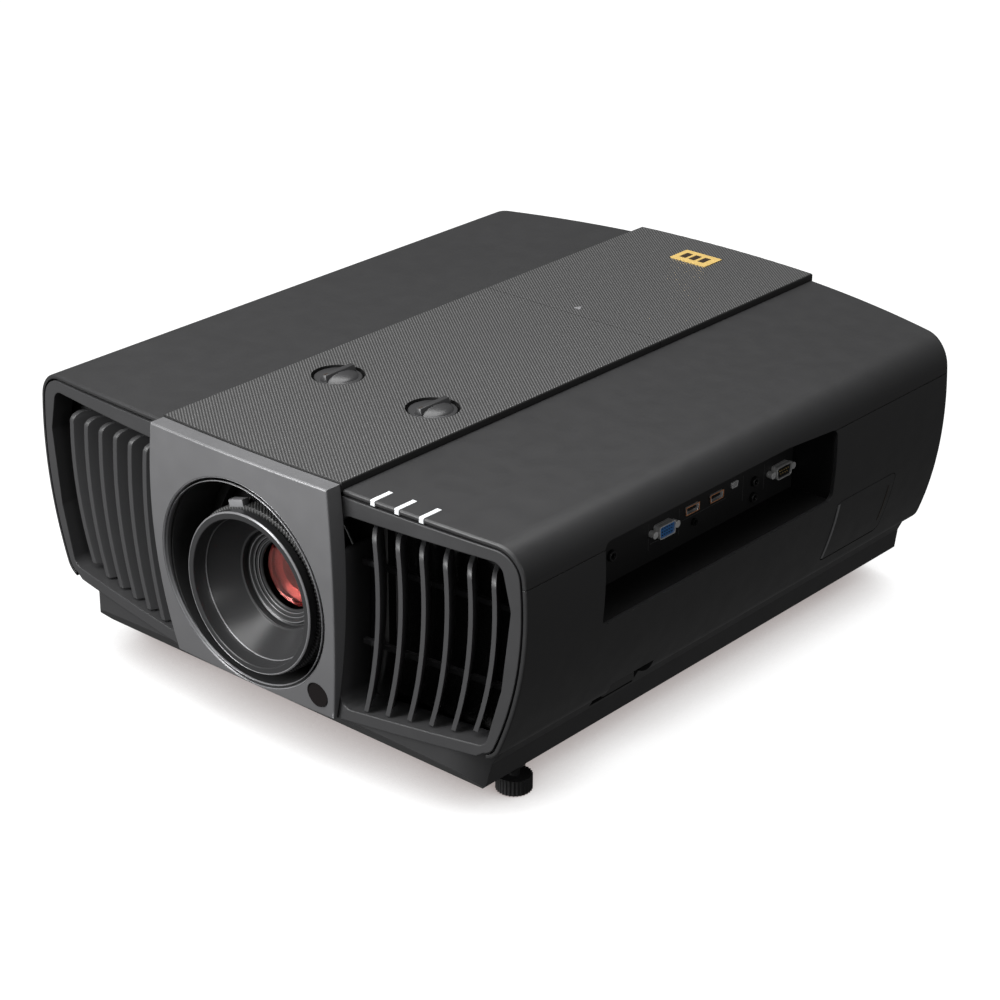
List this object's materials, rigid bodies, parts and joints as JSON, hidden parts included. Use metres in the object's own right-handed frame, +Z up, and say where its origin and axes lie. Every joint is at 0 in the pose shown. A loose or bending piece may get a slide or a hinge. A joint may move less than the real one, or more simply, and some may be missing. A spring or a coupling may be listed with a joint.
{
  "type": "home projector",
  "caption": "Large home cinema projector with a centred lens, swept front grilles, a raised centre strip, side socket bay and lens shift knobs on top.",
  "frame": {"origin": "on the floor, under the middle of the casing", "axes": "+X towards the side with the socket bay, +Y from the lens to the rear, +Z up"},
  "size_m": [0.4706, 0.5571, 0.229],
  "materials": {
    "cover": "satin",
    "rear_black": "fine grain",
    "strip": "satin with a fine diagonal weave pattern",
    "gold": "polished",
    "plate": "satin metallic grey",
    "surround": "smooth",
    "ir_window": "polished",
    "bezel": "satin",
    "blade": "satin",
    "screen": "fine mesh",
    "light_pipe": "frosted",
    "tray": "fine grain",
    "liner": "fine grain",
    "socket_panel": "satin",
    "connector_metal": "bright",
    "jack": "smooth",
    "door": "satin",
    "filter": "open foam",
    "steel": "brushed",
    "inlet": "smooth",
    "rocker": "smooth",
    "key_panel": "satin",
    "key": "satin",
    "hood": "satin",
    "ring": "knurled",
    "barrel": "black anodised",
    "lens_glass": "coated",
    "zoom_group": "smooth",
    "frame_metal": "cast",
    "knob": "satin",
    "engine": "cast",
    "heat_sink": "extruded",
    "wheel_glass": "coated",
    "motor": "brushed",
    "lamp_box": "pressed",
    "bulb": "polished",
    "board": "laminate",
    "fan": "smooth",
    "foot": "matte"
  },
  "bodies": {
    "casing": {"top_cover_left": "cover", "top_cover_right": "cover", "side_panel_left": "cover", "side_panel_right": "cover", "rear_panel": "rear_black", "strip_front_cover": "strip", "strip_rear_cover": "strip", "gold_plate": "gold", "lens_plate": "plate", "lens_surround": "surround", "ir_windows": "ir_window", "front_bezel_left": "bezel", "front_bezel_right": "bezel", "grille_blades_left": "blade", "grille_blades_right": "blade", "dust_screens": "screen", "status_light_pipes": "light_pipe", "base_tray": "tray", "socket_bay_liner": "liner", "socket_panel": "socket_panel", "dsub_sockets": "connector_metal", "digital_sockets": "connector_metal", "round_jacks": "jack", "air_filter": "filter", "lock_pocket": "liner", "mains_inlet": "inlet", "key_panel": "key_panel", "lens_frame": "frame_metal", "optical_engine": "engine", "imager_heat_sink": "heat_sink", "wheel_motor": "motor", "lamp_housing": "lamp_box", "lamp_bulb": "bulb", "power_supply": "board", "main_board": "board", "fan_frames": "fan", "rear_feet": "foot"},
    "lift": {"lift_carriage": "frame_metal"},
    "cross": {"cross_carriage": "frame_metal", "lens_barrel": "barrel"},
    "hood": {"lens_hood": "hood", "front_lens": "lens_glass"},
    "focus": {"focus_ring": "ring"},
    "zoom_turn": {"zoom_ring": "ring"},
    "zoom_glass": {"zoom_group": "zoom_group"},
    "height_knob": {"height_shift_knob": "knob"},
    "side_knob": {"side_shift_knob": "knob"},
    "door": {"filter_door": "door"},
    "lock": {"lock_bar": "steel"},
    "rocker": {"power_rocker": "rocker"},
    "power": {"power_key": "key"},
    "menu": {"menu_key": "key"},
    "ok": {"ok_key": "key"},
    "back": {"back_key": "key"},
    "direction": {"direction_pad": "key"},
    "fan_left": {"left_impeller": "fan"},
    "fan_right": {"right_impeller": "fan"},
    "wheel": {"colour_wheel": "wheel_glass"},
    "foot_left": {"front_left_foot": "foot"},
    "foot_right": {"front_right_foot": "foot"}
  },
  "joints": [
    {"name": "lens_height", "type": "slide", "parent": "casing", "child": "lift", "axis": [0, 0, 1], "range_m": [-0.001, 0.015]},
    {"name": "lens_side", "type": "slide", "parent": "lift", "child": "cross", "axis": [1, 0, 0], "range_m": [-0.005, 0.005]},
    {"name": "focus_travel", "type": "slide", "parent": "cross", "child": "hood", "axis": [0, -1, 0], "range_m": [0, 0.003]},
    {"name": "focus_turn", "type": "hinge", "parent": "cross", "child": "focus", "pos_m": [0, -0.25, 0.1165], "axis": [0, 1, 0], "range_deg": [-0.5, 90.5]},
    {"name": "zoom_travel", "type": "slide", "parent": "cross", "child": "zoom_glass", "axis": [0, 1, 0], "range_m": [0, 0.01]},
    {"name": "zoom_ring_turn", "type": "hinge", "parent": "cross", "child": "zoom_turn", "pos_m": [0, -0.232, 0.1165], "axis": [0, 1, 0], "range_deg": [-0.5, 60.5]},
    {"name": "height_knob_turn", "type": "hinge", "parent": "casing", "child": "height_knob", "pos_m": [-0.046, -0.13, 0.22], "axis": [0, 0, 1], "range_deg": [-18.5, 270.5]},
    {"name": "side_knob_turn", "type": "hinge", "parent": "casing", "child": "side_knob", "pos_m": [0.046, -0.13, 0.22], "axis": [0, 0, 1], "range_deg": [-90.5, 90.5]},
    {"name": "filter_door_swing", "type": "hinge", "parent": "casing", "child": "door", "pos_m": [0.2268, 0.1837, 0.1], "axis": [0.2609, 0, 0.9654], "range_deg": [0, 70]},
    {"name": "lock_bar_pull", "type": "slide", "parent": "casing", "child": "lock", "axis": [1, 0, 0], "range_m": [0, 0.01]},
    {"name": "rocker_tilt", "type": "hinge", "parent": "casing", "child": "rocker", "pos_m": [-0.069, 0.2715, 0.088], "axis": [1, 0, 0], "range_deg": [0, 14]},
    {"name": "power_key_press", "type": "slide", "parent": "casing", "child": "power", "axis": [1, 0, 0], "range_m": [0, 0.001], "stiffness_N_per_m": 300},
    {"name": "menu_key_press", "type": "slide", "parent": "casing", "child": "menu", "axis": [1, 0, 0], "range_m": [0, 0.001], "stiffness_N_per_m": 300},
    {"name": "ok_key_press", "type": "slide", "parent": "casing", "child": "ok", "axis": [1, 0, 0], "range_m": [0, 0.001], "stiffness_N_per_m": 300},
    {"name": "back_key_press", "type": "slide", "parent": "casing", "child": "back", "axis": [1, 0, 0], "range_m": [0, 0.001], "stiffness_N_per_m": 300},
    {"name": "direction_pad_press", "type": "slide", "parent": "casing", "child": "direction", "axis": [1, 0, 0], "range_m": [0, 0.001], "stiffness_N_per_m": 300},
    {"name": "fan_left_spin", "type": "hinge", "parent": "casing", "child": "fan_left", "pos_m": [-0.148, -0.2115, 0.122], "axis": [0, 1, 0], "continuous": true},
    {"name": "fan_right_spin", "type": "hinge", "parent": "casing", "child": "fan_right", "pos_m": [0.148, -0.2115, 0.122], "axis": [0, 1, 0], "continuous": true},
    {"name": "wheel_spin", "type": "hinge", "parent": "casing", "child": "wheel", "pos_m": [0.02, 0.0386, 0.136], "axis": [0, 1, 0], "continuous": true},
    {"name": "foot_left_screw", "type": "slide", "parent": "casing", "child": "foot_left", "axis": [0, 0, -1], "range_m": [0, 0.01]},
    {"name": "foot_right_screw", "type": "slide", "parent": "casing", "child": "foot_right", "axis": [0, 0, -1], "range_m": [0, 0.01]}
  ],
  "couplings": [
    {"joint": "focus_turn", "follows": "focus_travel", "rad_per_m": 523.6},
    {"joint": "zoom_ring_turn", "follows": "zoom_travel", "rad_per_m": 104.72},
    {"joint": "height_knob_turn", "follows": "lens_height", "rad_per_m": 314.16},
    {"joint": "side_knob_turn", "follows": "lens_side", "rad_per_m": 314.16}
  ]
}
